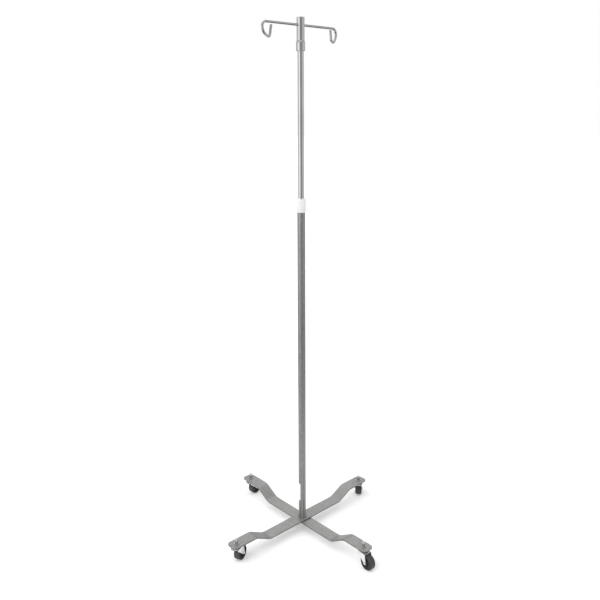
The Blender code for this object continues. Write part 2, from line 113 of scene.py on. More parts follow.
CROWN_THICK = 0.002
CROWN_RADIUS = 0.0165
CROWN_REACH = 0.0065
CROWN_FRONT = -0.0175
CROWN_BACK = 0.0240
FORK_OUTER = 0.015
FORK_INNER = 0.013
FORK_EYE = 0.0050
FORK_FRONT = -0.0125
FORK_BACK = 0.0200
FORK_SHOULDER = 0.0060
FORK_FOOT = 0.010  # the channel is made down to here, and then cut to its side view
CUP_WALL = 0.0013
BALL_CIRCLE = 0.0105
BALL_COUNT = 10
AXLE_RADIUS = 0.003
RIVET_HEAD = 0.0042
CORE_RADIUS = 0.0165
TYRE_HALF = 0.0115


# Mesh tools -------------------------------------------------------------------
def finished(name, bm, sharp=35):
    """The bmesh as an object, shaded smooth except at edges sharper than sharp degrees."""
    bmesh.ops.remove_doubles(bm, verts=bm.verts, dist=1e-7)
    bmesh.ops.recalc_face_normals(bm, faces=bm.faces)
    mesh = bpy.data.meshes.new(name)
    bm.to_mesh(mesh)
    bm.free()
    mesh.shade_smooth()
    mesh.set_sharp_from_angle(angle=math.radians(sharp))
    obj = bpy.data.objects.new(name, mesh)
    bpy.context.scene.collection.objects.link(obj)
    return obj


def softened(points, cut, steps=4, keep=()):
    """A closed outline with its corners cut back by up to cut and bridged by curves, except those in keep."""
    out = []
    count = len(points)
    for i, point in enumerate(points):
        here = Vector(point)
        if i in keep:
            out.append(tuple(here))
            continue
        before = Vector(points[i - 1]) - here
        after = Vector(points[(i + 1) % count]) - here
        size = min(cut, before.length * 0.45, after.length * 0.45)
        a = here + before.normalized() * size
        b = here + after.normalized() * size
        for k in range(steps + 1):
            t = k / steps
            out.append(tuple(a * (1 - t) ** 2 + here * 2 * t * (1 - t) + b * t**2))
    return out


def held(profile):
    """Adds a point just inside each end of every long straight, so that its shading stays straight."""
    out = []
    for a, b in zip(profile, profile[1:] + profile[:1]):
        out.append(a)
        length = math.dist(a, b)
        if length > 5 * HOLD and max(a[0], b[0]) > ON_AXIS:
            for share in (HOLD / length, 1 - HOLD / length):
                out.append((a[0] + (b[0] - a[0]) * share, a[1] + (b[1] - a[1]) * share))
    return out


def turned(name, profile, sides=96, axis="Z", sharp=35):
    """A closed profile of (radius, height) points turned round Z, or laid along Y."""
    bm = bmesh.new()
    rings = []
    if sides > 6:
        profile = held(profile)
    for radius, height in profile:
        if radius < ON_AXIS:
            rings.append([bm.verts.new((0, 0, height))] * sides)
            continue
        ring = []
        for i in range(sides):
            a = math.tau * i / sides
            ring.append(bm.verts.new((radius * math.cos(a), radius * math.sin(a), height)))
        rings.append(ring)
    for low, high in zip(rings, rings[1:] + rings[:1]):
        for i in range(sides):
            j = (i + 1) % sides
            corners = []
            for vert in (low[i], low[j], high[j], high[i]):
                if vert not in corners:
                    corners.append(vert)
            if len(corners) > 2:
                bm.faces.new(corners)
    if axis == "Y":
        bmesh.ops.transform(bm, matrix=Matrix.Rotation(math.radians(-90), 4, "X"), verts=bm.verts)
    return finished(name, bm, sharp)


def plate(name, outline, low, high, normal="Z", sharp=35):
    """A closed outline extruded along normal. The outline's axes are the other two, in order."""
    bm = bmesh.new()
    place = {
        "Z": lambda a, b, c: (a, b, c),
        "Y": lambda a, b, c: (a, c, b),
        "X": lambda a, b, c: (c, a, b),
    }[normal]
    lower = [bm.verts.new(place(a, b, low)) for a, b in outline]
    upper = [bm.verts.new(place(a, b, high)) for a, b in outline]
    bm.faces.new(lower)
    bm.faces.new(upper)
    count = len(outline)
    for i in range(count):
        j = (i + 1) % count
        bm.faces.new((lower[i], lower[j], upper[j], upper[i]))
    return finished(name, bm, sharp)


def lofted(name, loops, sharp=35):
    """Skins between closed loops of equal length, and caps both ends."""
    bm = bmesh.new()
    rows = [[bm.verts.new(point) for point in loop] for loop in loops]
    count = len(rows[0])
    for a, b in zip(rows, rows[1:]):
        for i in range(count):
            j = (i + 1) % count
            bm.faces.new((a[i], a[j], b[j], b[i]))
    bm.faces.new(rows[0])
    bm.faces.new(rows[-1])
    return finished(name, bm, sharp)


def settled(obj, sharp):
    """Applies the object's modifiers, and shades the result."""
    graph = bpy.context.evaluated_depsgraph_get()
    mesh = bpy.data.meshes.new_from_object(obj.evaluated_get(graph))
    obj.modifiers.clear()
    obj.data = mesh
    mesh.shade_smooth()
    mesh.set_sharp_from_angle(angle=math.radians(sharp))


def carve(obj, operation, tools, sharp=35):
    """Cuts, joins or crosses the object with each tool, and deletes the tools."""
    for tool in tools:
        modifier = obj.modifiers.new("carve", "BOOLEAN")
        modifier.operation = operation
        modifier.object = tool
        modifier.solver = "EXACT"
    settled(obj, sharp)
    for tool in tools:
        bpy.data.objects.remove(tool, do_unlink=True)


def evened(obj):
    """Keeps flat faces flat to the eye beside rounded edges."""
    modifier = obj.modifiers.new("even", "WEIGHTED_NORMAL")
    modifier.keep_sharp = True
    modifier.weight = 80


def moved(obj, matrix):
    """Moves the mesh inside its object."""
    obj.data.transform(matrix)
    return obj


def copied(obj, name, matrix):
    """A second object with its own copy of the mesh, moved."""
    twin = bpy.data.objects.new(name, obj.data.copy())
    twin.data.transform(matrix)
    bpy.context.scene.collection.objects.link(twin)
    return twin


def arc(centre, radius, start, stop, steps):
    """Points on a circle from start to stop, in degrees."""
    angles = [math.radians(start + (stop - start) * i / steps) for i in range(steps + 1)]
    return [(centre[0] + radius * math.cos(a), centre[1] + radius * math.sin(a)) for a in angles]


# Finishes ---------------------------------------------------------------------
class Finish:
    """A material on object coordinates, which are the stand's own metres."""

    def __init__(self, name, metallic=0.0):
        self.material = bpy.data.materials.new(name)
        self.material.use_nodes = True
        self.nodes = self.material.node_tree.nodes
        self.links = self.material.node_tree.links
        self.shader = self.nodes["Principled BSDF"]
        self.shader.inputs["Metallic"].default_value = metallic
        self.place = self.nodes.new("ShaderNodeTexCoord").outputs["Object"]
        self.height = None

    def stretched(self, stretch):
        mapping = self.nodes.new("ShaderNodeMapping")
        mapping.inputs["Scale"].default_value = stretch
        self.links.new(self.place, mapping.inputs["Vector"])
        return mapping.outputs["Vector"]

    def noise(self, scale, stretch=(1, 1, 1), detail=4.0, rough=0.55):
        made = self.nodes.new("ShaderNodeTexNoise")
        made.inputs["Scale"].default_value = scale
        made.inputs["Detail"].default_value = detail
        made.inputs["Roughness"].default_value = rough
        self.links.new(self.stretched(stretch), made.inputs["Vector"])
        return made.outputs["Fac"]

    def cells(self, scale):
        made = self.nodes.new("ShaderNodeTexVoronoi")
        made.inputs["Scale"].default_value = scale
        self.links.new(self.place, made.inputs["Vector"])
        return made.outputs["Distance"]

    def level(self):
        """Height above the floor, in metres."""
        made = self.nodes.new("ShaderNodeSeparateXYZ")
        self.links.new(self.place, made.inputs["Vector"])
        return made.outputs["Z"]

    def ramp(self, value, stops):
        """stops: (position, colour or grey)."""
        made = self.nodes.new("ShaderNodeValToRGB")
        elements = made.color_ramp.elements
        while len(elements) < len(stops):
            elements.new(0.5)
        for element, (position, colour) in zip(elements, stops):
            element.position = position
            shade = colour if isinstance(colour, tuple) else (colour,) * 3
            element.color = (*shade, 1.0)
        self.links.new(value, made.inputs["Fac"])
        return made.outputs["Color"]

    def multiplied(self, a, b):
        made = self.nodes.new("ShaderNodeMix")
        made.data_type = "RGBA"
        made.blend_type = "MULTIPLY"
        made.inputs["Factor"].default_value = 1.0
        sockets = [socket for socket in made.inputs if socket.type == "RGBA"]
        for socket, value in zip(sockets, (a, b)):
            self.links.new(value, socket)
        return next(socket for socket in made.outputs if socket.type == "RGBA")

    def colour(self, output):
        self.links.new(output, self.shader.inputs["Base Color"])

    def roughness(self, value, low, high):
        """Low and high are the roughness at the noise's usual lowest and highest."""
        made = self.nodes.new("ShaderNodeMapRange")
        made.inputs["From Min"].default_value = 0.3
        made.inputs["From Max"].default_value = 0.7
        made.inputs["To Min"].default_value = low
        made.inputs["To Max"].default_value = high
        self.links.new(value, made.inputs["Value"])
        self.links.new(made.outputs["Result"], self.shader.inputs["Roughness"])

    def bump(self, value, distance, strength):
        """Adds a relief, distance deep in metres, over any that was added before."""
        made = self.nodes.new("ShaderNodeBump")
        made.inputs["Strength"].default_value = strength
        made.inputs["Distance"].default_value = distance
        self.links.new(value, made.inputs["Height"])
        if self.height is not None:
            self.links.new(self.height, made.inputs["Normal"])
        self.height = made.outputs["Normal"]
        self.links.new(self.height, self.shader.inputs["Normal"])


def silver_paint(name, stretch, light=1.0, metallic=0.56, painted_shade=None):
    """Silver-vein powder coat: fine flecks drawn out along the piece. A painted shade, if given, darkens it by
    height.
    """
    finish = Finish(name, metallic)
    vein = finish.noise(620, stretch, 6.0, 0.68)
    streak = finish.noise(240, tuple(k * 0.6 if k < 1 else k for k in stretch), 5.0, 0.62)
    fleck = finish.cells(1300)
    broad = finish.noise(14, detail=3.0)
    grey = [(0.34, 0.200), (0.50, 0.275), (0.68, 0.370)]
    tint = [(at, tuple(shade * light * k for k in (0.992, 1.0, 0.978))) for at, shade in grey]
    streaked = finish.multiplied(finish.ramp(vein, tint), finish.ramp(streak, [(0.38, 0.86), (0.60, 1.04)]))
    coat = finish.multiplied(streaked, finish.ramp(broad, [(0.35, 0.93), (0.65, 1.0)]))
    # Painted shade: the coat is darkened by its height above the floor.
    if painted_shade:
        coat = finish.multiplied(coat, finish.ramp(finish.level(), painted_shade))
    finish.colour(coat)
    finish.roughness(vein, 0.27, 0.44)
    finish.bump(vein, 0.00010, 0.5)
    finish.bump(fleck, 0.00005, 0.35)
    return finish.material


def chrome(name, stretch=(1, 1, 0.03), light=1.0):
    """Bright plate on drawn tube: faint draw lines, and smudges that dull it here and there."""
    finish = Finish(name, metallic=1.0)
    lines = finish.noise(260, stretch, 3.0)
    smudge = finish.noise(24, (1, 1, 0.5), 5.0, 0.6)
    tones = [(0.30, 0.70 * light), (0.62, 0.80 * light)]
    finish.colour(finish.ramp(smudge, [(at, (shade, shade * 1.01, shade)) for at, shade in tones]))
    finish.roughness(smudge, 0.09, 0.20)
    finish.bump(lines, 0.00001, 0.12)
    return finish.material


def zinc(name, light=1.0):
    """Bright zinc plate on pressed steel, with the faint blue and yellow of its passivation."""
    finish = Finish(name, metallic=1.0)
    cloud = finish.noise(60, detail=5.0, rough=0.6)
    grain = finish.noise(1400, detail=2.0)
    hue = [(0.30, (0.74, 0.77, 0.81)), (0.52, (0.90, 0.91, 0.91)), (0.75, (0.90, 0.89, 0.83))]
    finish.colour(finish.ramp(cloud, [(at, tuple(light * k for k in shade)) for at, shade in hue]))
    finish.roughness(cloud, 0.16, 0.34)
    finish.bump(grain, 0.00003, 0.3)
    return finish.material


def dark_steel(name):
    """Dark steel, cloudy here and there: a painted shade, standing in for the shade under the bars and the dark
    surroundings that the metal there mirrors.
    """
    finish = Finish(name, metallic=0.85)
    cloud = finish.noise(90, detail=5.0)
    finish.colour(finish.ramp(cloud, [(0.35, (0.035, 0.040, 0.048)), (0.70, (0.085, 0.093, 0.105))]))
    finish.roughness(cloud, 0.34, 0.55)
    finish.bump(cloud, 0.00005, 0.3)
    return finish.material


def white_plastic(name):
    """Natural white moulding, a little translucent, with the haze that hands leave."""
    finish = Finish(name)
    haze = finish.noise(70, (1, 1, 0.4))
    grain = finish.noise(1600, detail=2.0)
    finish.colour(finish.ramp(haze, [(0.30, (0.70, 0.705, 0.69)), (0.60, (0.82, 0.825, 0.81))]))
    finish.roughness(haze, 0.28, 0.45)
    finish.bump(grain, 0.00003, 0.3)
    finish.shader.inputs["Subsurface Weight"].default_value = 0.25
    finish.shader.inputs["Subsurface Radius"].default_value = (0.004, 0.004, 0.004)
    finish.shader.inputs["Subsurface Scale"].default_value = 0.5
    return finish.material


def nylon(name):
    """Turned nylon, with the tool's fine rings."""
    finish = Finish(name)
    lines = finish.noise(500, (1, 1, 3.0), 3.0)
    finish.colour(finish.ramp(lines, [(0.3, (0.62, 0.61, 0.56)), (0.7, (0.74, 0.73, 0.68))]))
    finish.roughness(lines, 0.42, 0.60)
    finish.bump(lines, 0.00004, 0.4)
    return finish.material


def black_plastic(name):
    """Moulded black plastic with a fine grain."""
    finish = Finish(name)
    grain = finish.noise(900, detail=3.0)
    finish.colour(finish.ramp(grain, [(0.35, (0.014, 0.014, 0.015)), (0.7, (0.030, 0.030, 0.031))]))
    finish.roughness(grain, 0.38, 0.58)
    finish.bump(grain, 0.00005, 0.4)
    return finish.material


def rubber(name, low, high, worn=0.0):
    """Moulded rubber between two tones, rougher where it is worn."""
    finish = Finish(name)
    scuff = finish.noise(160, detail=6.0, rough=0.7)
    pores = finish.noise(1500, detail=2.0)
    finish.colour(finish.ramp(scuff, [(0.32, low), (0.68, high)]))
    finish.roughness(scuff, 0.55, 0.80 + worn)
    finish.bump(scuff, 0.00010 + 0.0001 * worn, 0.4)
    finish.bump(pores, 0.00004, 0.4)
    return finish.material


def label_film(name):
    """White printing film, blank, with a faint tooth."""
    finish = Finish(name)
    fibre = finish.noise(260, (1, 1, 0.6))
    finish.colour(finish.ramp(fibre, [(0.3, (0.80, 0.81, 0.80)), (0.7, (0.88, 0.885, 0.88))]))
    finish.roughness(fibre, 0.30, 0.46)
    finish.bump(fibre, 0.00003, 0.3)
    return finish.material


# How the paint's flecks are stretched: a small number draws them out along that axis.
ALONG_X = (0.24, 1.2, 1.2)
ALONG_Y = (1.2, 0.24, 1.2)
ALONG_Z = (1, 1, 0.34)
ON_EDGES = (0.6, 0.6, 1.2)
BAR_LIGHT = 1.26
# The lower tube's painted shade: its brightness at each height in metres, darker towards its foot.
TUBE_PAINTED_SHADE = [(0.10, 0.76), (0.40, 0.72), (0.65, 0.86), (1.0, 1.0)]
FINISHES = {
    "silver_paint": silver_paint("silver_vein_tube", ALONG_Z, light=1.45, metallic=0.80, painted_shade=TUBE_PAINTED_SHADE),
    "chrome": chrome("chrome_tube"),
    "zinc": zinc("bright_zinc"),
    "dark_steel": dark_steel("shaded_dark_steel"),
    "white_plastic": white_plastic("natural_white"),
    "nylon": nylon("turned_nylon"),
    "black_plastic": black_plastic("grained_black"),
    "tyre_rubber": rubber("rubber_wall", (0.010, 0.010, 0.010), (0.022, 0.021, 0.020)),
    "label_film": label_film("blank_film"),
}
BAR_X_PAINT = silver_paint("silver_vein_x", ALONG_X, BAR_LIGHT)
BAR_Y_PAINT = silver_paint("silver_vein_y", ALONG_Y, BAR_LIGHT)
# Painted shade: a darker copy of the bars' paint for their sides, which face away from the light.
BAR_SIDE_SHADE_PAINT = silver_paint("silver_vein_side_shade", ON_EDGES, light=0.72)
TREAD = rubber("rubber_tread", (0.034, 0.031, 0.031), (0.072, 0.064, 0.063), worn=0.1)
# Painted shade: a dimmer copy of the chrome for the rod, standing in for its darker reflections.
ROD_SHADED_CHROME = chrome("chrome_rod_shaded", stretch=(0.06, 1, 1), light=0.90)
# Painted shade: a darker copy of the zinc for the nuts, standing in for their dark reflections.
NUT_SHADED_ZINC = zinc("nut_zinc_shaded", light=0.62)

for node, obj in frame["nodes"].items():
    if not obj.data.materials:
        obj.data.materials.append(None)
    for i in range(len(obj.data.materials)):
        obj.data.materials[i] = FINISHES[NODE_SLOT[node]]


def takes_over(obj, node):
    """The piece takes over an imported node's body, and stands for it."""
    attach(obj, next(body for body, members in BODIES.items() if node in members))
    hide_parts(node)


def stands_for(obj, node, finish=None):
    """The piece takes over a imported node, in the node's finish unless another is given."""
    obj.data.materials.clear()
    obj.data.materials.append(finish or FINISHES[NODE_SLOT[node]])
    takes_over(obj, node)


# The camera, the light and the floor ------------------------------------------
CAMERA_AT = Vector((-1.45953, -1.58365, 1.44077))
CAMERA_DOWN = 0.26364  # radians below level
CAMERA_ROLL = -0.00420
CAMERA_YAW = 0.74223  # from +Y towards +X
CAMERA_LENS = 40.175
CAMERA_SENSOR = 36.0
CAMERA_CLIP = 100


def camera():
    """The photograph's viewpoint."""
    forward = Vector(
        (
            math.sin(CAMERA_YAW) * math.cos(CAMERA_DOWN),
            math.cos(CAMERA_YAW) * math.cos(CAMERA_DOWN),
            -math.sin(CAMERA_DOWN),
        )
    )
    level = Vector((math.cos(CAMERA_YAW), -math.sin(CAMERA_YAW), 0))
    upright = level.cross(forward)
    right = level * math.cos(CAMERA_ROLL) + upright * math.sin(CAMERA_ROLL)
    up = upright * math.cos(CAMERA_ROLL) - level * math.sin(CAMERA_ROLL)
    made = bpy.data.objects.new("camera", bpy.data.cameras.new("camera"))
    made.matrix_world = Matrix((right, up, -forward)).transposed().to_4x4()
    made.location = CAMERA_AT
    made.data.sensor_width = CAMERA_SENSOR
    made.data.lens = CAMERA_LENS
    made.data.clip_end = CAMERA_CLIP
    bpy.context.scene.collection.objects.link(made)
    bpy.context.scene.camera = made


def sun(name, bearing, height, power, spread):
    """Soft light from far away: bearing in degrees from +X, height in degrees above the floor."""
    light = bpy.data.lights.new(name, "SUN")
    light.energy = power
    light.angle = math.radians(spread)
    made = bpy.data.objects.new(name, light)
    a, b = math.radians(bearing), math.radians(height)
    towards = Vector((math.cos(a) * math.cos(b), math.sin(a) * math.cos(b), math.sin(b)))
    made.rotation_euler = (-towards).to_track_quat("-Z", "Y").to_euler()
    made.location = towards
    made.visible_glossy = False
    bpy.context.scene.collection.objects.link(made)


# What bright metal mirrors. Round the horizon: (bearing in degrees from +X, brightness).
STUDIO_ROUND = (
    (0, 0.48),
    (47, 0.52),
    (84, 0.38),
    (112, 0.50),
    (142, 0.74),
    (164, 1.08),
    (193, 1.08),
    (205, 0.31),
    (264, 0.27),
    (285, 0.58),
    (320, 0.60),
    (359, 0.48),
)
# From straight below (0) through the horizon (0.5) to straight above (1): brightness.
STUDIO_UP = ((0.0, 0.16), (0.28, 0.18), (0.66, 0.40), (0.84, 0.46), (0.95, 0.80), (1.0, 0.90))
# How much of the horizon's brightness shows at each height.
STUDIO_BAND = ((0.24, 0.0), (0.36, 1.0), (0.60, 1.0), (0.68, 0.0))
# A wide soft panel behind the stand, well above it: its bearings, and its heights.
PANEL_ROUND = ((0, 0.2), (20, 1.0), (75, 1.0), (100, 0.4), (140, 0.35), (200, 0.35), (225, 0.1), (330, 0.0))
PANEL_UP = ((0.70, 0.0), (0.76, 1.0), (0.90, 1.0), (0.95, 0.0))
PANEL_LIGHT = 1.15
ROOM_LIGHT = 0.66


def studio_world():
    """White to the eye, an even glow on matt surfaces, and a studio of softboxes to bright metal."""
    world = bpy.data.worlds.new("studio")
    bpy.context.scene.world = world
    world.use_nodes = True
    nodes, links = world.node_tree.nodes, world.node_tree.links
    nodes.clear()
    place = nodes.new("ShaderNodeTexCoord")
    bearing = nodes.new("ShaderNodeTexGradient")
    bearing.gradient_type = "RADIAL"
    links.new(place.outputs["Generated"], bearing.inputs["Vector"])
    parts = nodes.new("ShaderNodeSeparateXYZ")
    links.new(place.outputs["Generated"], parts.inputs["Vector"])
    upward = nodes.new("ShaderNodeMapRange")
    upward.inputs["From Min"].default_value = -1
    upward.inputs["From Max"].default_value = 1
    links.new(parts.outputs["Z"], upward.inputs["Value"])

    def ramp(value, stops):
        made = nodes.new("ShaderNodeValToRGB")
        elements = made.color_ramp.elements
        while len(elements) < len(stops):
            elements.new(0.5)
        for element, (at, shade) in zip(elements, stops):
            element.position = at
            element.color = (shade, shade, shade, 1)
        links.new(value, made.inputs["Fac"])
        return made.outputs["Color"]

    def round_ramp(stops):
        # The radial gradient is 0.5 along +X and grows towards +Y.
        placed = [((angle / 360 + 0.5) % 1.0, shade) for angle, shade in stops]
        return ramp(bearing.outputs["Fac"], sorted(placed))

    def mixed(factor, a, b):
        made = nodes.new("ShaderNodeMix")
        made.data_type = "RGBA"
        sockets = [s for s in made.inputs if s.type == "RGBA"]
        links.new(factor, made.inputs["Factor"])
        for socket, value in zip(sockets, (a, b)):
            if isinstance(value, float):
                socket.default_value = (value, value, value, 1)
            else:
                links.new(value, socket)
        return next(s for s in made.outputs if s.type == "RGBA")

    height = upward.outputs["Result"]
    mirrored = mixed(ramp(height, STUDIO_BAND), ramp(height, STUDIO_UP), round_ramp(STUDIO_ROUND))
    both = nodes.new("ShaderNodeMath")
    both.operation = "MULTIPLY"
    links.new(round_ramp(PANEL_ROUND), both.inputs[0])
    links.new(ramp(height, PANEL_UP), both.inputs[1])
    mirrored = mixed(both.outputs["Value"], mirrored, PANEL_LIGHT)

    def background(colour):
        made = nodes.new("ShaderNodeBackground")
        if isinstance(colour, float):
            made.inputs["Color"].default_value = (colour, colour, colour, 1)
        else:
            links.new(colour, made.inputs["Color"])
        return made.outputs["Background"]

    path = nodes.new("ShaderNodeLightPath")
    shine = nodes.new("ShaderNodeMixShader")
    links.new(path.outputs["Is Glossy Ray"], shine.inputs["Fac"])
    links.new(background(ROOM_LIGHT), shine.inputs[1])
    links.new(background(mirrored), shine.inputs[2])
    seen = nodes.new("ShaderNodeMixShader")
    links.new(path.outputs["Is Camera Ray"], seen.inputs["Fac"])
    links.new(shine.outputs["Shader"], seen.inputs[1])
    links.new(background(1.0), seen.inputs[2])
    out = nodes.new("ShaderNodeOutputWorld")
    links.new(seen.outputs["Shader"], out.inputs["Surface"])


FLOOR_RADIUS = 60
FLOOR_HEIGHTS = (-0.02, -0.0002)
FLOOR_GLOW = 0.16  # lightens the shadows on it
PATCH_RADIUS = 1.1
PATCH_HEIGHTS = (-0.00015, -0.00005)


def pale_disc(name, paint, radius, heights, glow):
    """A disc of matt pale paint for the stand to be on."""
    # 60 points, so the last is 6 degrees short of the first.
    made = plate(name, arc((0, 0), radius, 0, 354, 59), *heights)
    finish = Finish(paint)
    cloud = finish.noise(2, detail=3.0)
    finish.colour(finish.ramp(cloud, [(0.3, 0.90), (0.7, 0.92)]))
    finish.roughness(cloud, 0.80, 0.90)
    finish.shader.inputs["Specular IOR Level"].default_value = 0.1
    finish.shader.inputs["Emission Color"].default_value = (1, 1, 1, 1)
    finish.shader.inputs["Emission Strength"].default_value = glow
    made.data.materials.append(finish.material)
    return made


def floor():
    """The floor, and just above it a patch that only bright metal sees, mirrored."""
    made = pale_disc("studio_floor", "pale_floor", FLOOR_RADIUS, FLOOR_HEIGHTS, FLOOR_GLOW)
    made.visible_glossy = False
    patch = pale_disc("studio_floor_patch", "pale_floor_patch", PATCH_RADIUS, PATCH_HEIGHTS, 0.0)
    patch.visible_camera = False
    patch.visible_diffuse = False
    patch.visible_shadow = False


camera()
studio_world()
floor()
sun("key_light", bearing=176, height=48, power=1.60, spread=70)
sun("fill_light", bearing=300, height=68, power=0.45, spread=60)
bpy.context.scene.view_settings.view_transform = "Standard"


# The base ---------------------------------------------------------------------
def bar(node, along, paint):
    """A flat bar bent up towards its ends, with rounded edges and round corners at the tips."""
    low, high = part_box(node)
    reach = high[along]
    half_width = high[1 - along]
    end_top = high.z
    low_top = low.z + BAR_THICK
    near, far = BAR_BENDS
    slope = math.atan2(end_top - low_top, far - near)
    trim = math.tan(slope / 2)
    half = BAR_THICK / 2
    inside = BAR_BEND_RADIUS + half
    degrees = math.degrees(slope)
    lower = (near - BAR_BEND_RADIUS * trim, low_top + BAR_BEND_RADIUS)
    upper = (far + (BAR_BEND_RADIUS + BAR_THICK) * trim, end_top - BAR_BEND_RADIUS - BAR_THICK)
    side = [(0.0, low_top - half)]
    side += arc(lower, inside, 270, 270 + degrees, 8)
    side += arc(upper, inside, 90 + degrees, 90, 8)
    flat_end = side[-1][0]
    # Stations in the raised end, closer together round the corners and the edge.
    stations = [flat_end + (reach - BAR_CORNER - flat_end) * k / 3 for k in (1, 2)]
    stations += [reach - BAR_CORNER * (1 - math.sin(math.radians(a))) for a in range(0, 84, 7)]
    stations += [reach - BAR_EDGE * (1 - math.sin(math.radians(a))) for a in (0, 25, 50, 70, 90)]
    side += [(x, end_top - half) for x in sorted(stations)]
    line = [(-x, z) for x, z in side[:0:-1]] + side
    loops = []
    for i, (x, z) in enumerate(line):
        before = line[max(i - 1, 0)]
        after = line[min(i + 1, len(line) - 1)]
        lean = Vector((after[0] - before[0], after[1] - before[1])).normalized()
        if abs(x) >= flat_end:
            lean = Vector((1, 0))
        from_tip = reach - abs(x)
        width = half_width
        if from_tip < BAR_CORNER:
            width -= BAR_CORNER - math.sqrt(max(BAR_CORNER**2 - (BAR_CORNER - from_tip) ** 2, 0))
        thick = half
        if from_tip < BAR_EDGE:
            thick -= BAR_EDGE - math.sqrt(max(BAR_EDGE**2 - (BAR_EDGE - from_tip) ** 2, 0))
        edge = min(BAR_EDGE, thick * 0.95)
        section = []
        for sign_w, sign_t, start in ((1, 1, 0), (-1, 1, 90), (-1, -1, 180), (1, -1, 270)):
            centre = (sign_w * (width - edge), sign_t * (thick - edge))
            section += arc(centre, edge, start, start + 90, 3)
        loop = []
        for across, out in section:
            along_bar = x - lean.y * out
            height = z + lean.x * out
            loop.append((along_bar, across, height) if along == 0 else (-across, along_bar, height))
        loops.append(loop)
    made = lofted(node + "_fine", loops, 30)
    drills = []  # for the studs that go through this bar
    for tag in TAGS:
        at = JOINTS[f"caster_{tag}_swivel"]["pos_m"]
        if abs(at[1 - along]) < half_width:
            tool = turned("drill", [(0, 0), (STUD_RADIUS + GAP, 0), (STUD_RADIUS + GAP, 0.1), (0, 0.1)], 48)
            drills.append(moved(tool, Matrix.Translation((at[0], at[1], 0))))
    carve(made, "DIFFERENCE", drills, 30)
    evened(made)
    stands_for(made, node, paint)
    # The cut edges get a darker copy of the coat: painted shade on the bars' sides.
    made.data.materials.append(BAR_SIDE_SHADE_PAINT)
    for face in made.data.polygons:
        if abs(face.normal.z) < EDGE_TILT:
            face.material_index = 1


def lower_tube():
    """The painted tube, flared at its foot."""
    low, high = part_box("lower_tube")
    flare = high.x - TUBE_RADIUS
    outside = [(high.x, low.z)]
    for i in range(13):
        a = math.pi / 2 * i / 12
        rise = FLARE_RIM + FLARE_HEIGHT * (1 - math.cos(a))
        outside.append((TUBE_RADIUS + flare * (1 - math.sin(a)), low.z + rise))
    inner = TUBE_RADIUS - TUBE_WALL
    profile = outside + [
        (TUBE_RADIUS, high.z - TUBE_RIM),
        (TUBE_RADIUS - TUBE_RIM, high.z),
        (inner + TUBE_RIM, high.z),
        (inner, high.z - TUBE_RIM),
        (inner, low.z),
    ]
    stands_for(turned("lower_tube_fine", profile, 96), "lower_tube")


def blank_label():
    """A blank film with rounded corners, wrapped on the tube."""
    low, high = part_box("blank_label")
    inner = TUBE_RADIUS + LABEL_INSIDE
    outer = TUBE_RADIUS + LABEL_OUTSIDE
    corner = LABEL_CORNER
    start, stop = (math.radians(a) for a in LABEL_SWEEP)
    length = outer * (stop - start)
    marks = [corner * (1 - math.cos(math.radians(a))) for a in range(0, 91, 15)]
    columns = marks + [corner + (length - 2 * corner) * k / 20 for k in range(1, 20)]
    columns += [length - mark for mark in reversed(marks)]
    bm = bmesh.new()
    rows = []
    for along in columns:
        edge = min(along, length - along)
        cut = corner - math.sqrt(max(corner**2 - (corner - min(edge, corner)) ** 2, 0))
        a = start + along / outer
        ring = []
        for radius, height in (
            (inner, low.z + cut),
            (outer, low.z + cut),
            (outer, high.z - cut),
            (inner, high.z - cut),
        ):
            ring.append(bm.verts.new((radius * math.cos(a), radius * math.sin(a), height)))
        rows.append(ring)
    for a, b in zip(rows, rows[1:]):
        for i in range(4):
            j = (i + 1) % 4
            bm.faces.new((a[i], a[j], b[j], b[i]))
    bm.faces.new(rows[0])
    bm.faces.new(rows[-1])
    stands_for(finished("blank_label_fine", bm, 30), "blank_label")


def thread(radius, low, high):
    """The outside of a threaded length as rings, from the bottom up."""
    points = []
    while low + THREAD_PITCH < high:
        points.append((radius, low + THREAD_PITCH * 0.15))
        points.append((radius - THREAD_DEPTH, low + THREAD_PITCH * 0.55))
        low += THREAD_PITCH
    return points


def hex_head(name, low, high, bore=None):
    """A hexagon with its corners chamfered above and below, and a countersunk bore if one is given."""
    corner = NUT_FLATS / 2 / math.cos(math.pi / 6)
    flats = NUT_FLATS / 2
    body = turned(name, [(0, low), (corner, low), (corner, high), (0, high)], 6, sharp=20)
    drop = (corner - flats) * 0.75
    face = flats * 0.98
    outside = corner + 0.0002
    outline = [
        (0, low),
        (face, low),
        (outside, low + drop),
        (outside, high - drop),
        (face, high),
        (0, high),
    ]
    carve(body, "INTERSECT", [turned("chamfer", outline, 72)], 20)
    if bore:
        sink = NUT_SINK
        hole = [
            (0, low - 0.001),
            (bore + sink, low - 0.001),
            (bore + sink, low),
            (bore, low + sink),
            (bore, high - sink),
            (bore + sink, high),
            (bore + sink, high + 0.001),
            (0, high + 0.001),
        ]
        carve(body, "DIFFERENCE", [turned("bore", hole, 48)], 20)
    return body


def flat_washer(name, low, high, outer, bore):
    """A flat ring with slightly rounded edges."""
    profile = softened([(bore, low), (outer, low), (outer, high), (bore, high)], 0.0003, 2)
    return turned(name, profile, 64)


def base_fixings():
    """The bolt that comes up into the foot plug, and its washer."""
    low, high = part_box("base_washer")
    stands_for(flat_washer("base_washer_fine", low.z, high.z, high.x, STUD_RADIUS + GAP), "base_washer")
    low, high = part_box("base_bolt")
    head = low.z + BOLT_HEAD
    body = hex_head("base_bolt_fine", low.z, head)
    shank = [(0, low.z + BOLT_HEAD / 2), (STUD_RADIUS, low.z + BOLT_HEAD / 2)]
    shank += thread(STUD_RADIUS, head + BOLT_PLAIN, high.z)
    shank += [(STUD_RADIUS - 0.001, high.z), (0, high.z)]
    carve(body, "UNION", [turned("shank", shank, 48)], 20)
    stands_for(body, "base_bolt")


